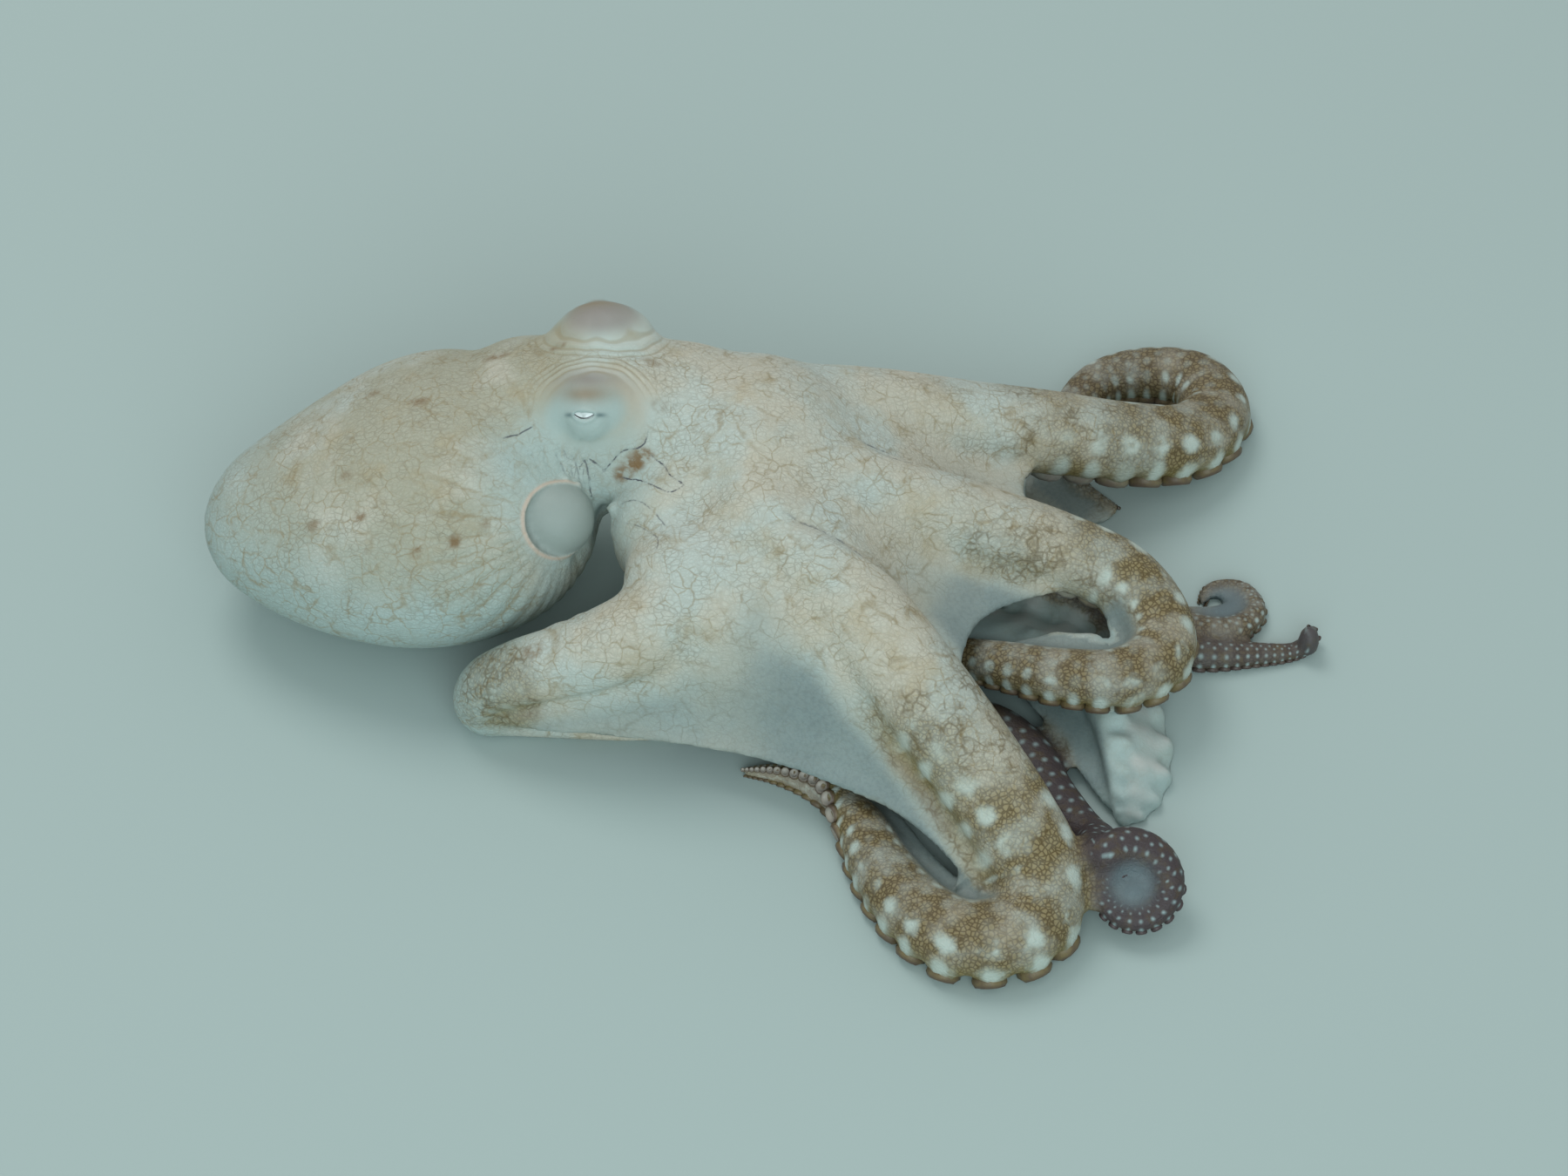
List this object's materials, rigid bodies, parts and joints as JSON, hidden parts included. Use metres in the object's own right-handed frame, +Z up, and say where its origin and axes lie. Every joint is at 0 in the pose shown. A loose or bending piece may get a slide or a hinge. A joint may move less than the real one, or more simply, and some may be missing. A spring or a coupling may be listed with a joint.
{
  "type": "octopus",
  "caption": "Still life-size octopus crawling on the floor: bag-shaped mantle, raised eyes, siphon, and webbed, suckered arms that reach forwards and curl; a display figure.",
  "frame": {"origin": "middle of the bottom of the whole animal's box, on the floor that it rests on", "axes": "+X towards the arms' tips, -X towards the end of the mantle, -Y the animal's right side, +Z up"},
  "size_m": [0.3104, 0.223, 0.0772],
  "materials": {
    "skin": "moist pale cream skin with fine brown creases",
    "arm_skin": "moist olive-brown skin with rows of white spots, darker towards the tips",
    "web": "moist thin blue-grey skin",
    "siphon": "smooth wet pale grey skin",
    "eye": "wet pale eyeball with a dark slit pupil"
  },
  "bodies": {
    "root": {"arm_left_1_1": "arm_skin", "arm_left_1_2": "arm_skin", "arm_left_1_3": "arm_skin", "arm_left_1_4": "arm_skin", "arm_left_1_5": "arm_skin", "arm_left_2_1": "arm_skin", "arm_left_2_2": "arm_skin", "arm_left_2_3": "arm_skin", "arm_left_2_4": "arm_skin", "arm_left_3_1": "arm_skin", "arm_left_3_2": "arm_skin", "arm_left_3_3": "arm_skin", "arm_left_3_4": "arm_skin", "arm_left_4_1": "arm_skin", "arm_left_4_2": "arm_skin", "arm_left_4_3": "arm_skin", "arm_right_1_1": "arm_skin", "arm_right_1_2": "arm_skin", "arm_right_1_3": "arm_skin", "arm_right_1_4": "arm_skin", "arm_right_1_5": "arm_skin", "arm_right_2_1": "arm_skin", "arm_right_2_2": "arm_skin", "arm_right_2_3": "arm_skin", "arm_right_2_4": "arm_skin", "arm_right_2_5": "arm_skin", "arm_right_3_1": "arm_skin", "arm_right_3_2": "arm_skin", "arm_right_3_3": "arm_skin", "arm_right_4_1": "arm_skin", "arm_right_4_2": "arm_skin", "arm_right_4_3": "arm_skin", "arm_right_4_4": "arm_skin", "crown": "skin", "eye_left": "eye", "eye_right": "eye", "head": "skin", "mantle": "skin", "siphon": "siphon", "web_dorsal": "web", "web_left_12": "web", "web_left_23": "web", "web_left_34": "web", "web_right_12": "web", "web_right_23": "web", "web_right_34": "web", "web_ventral": "web"}
  },
  "joints": []
}
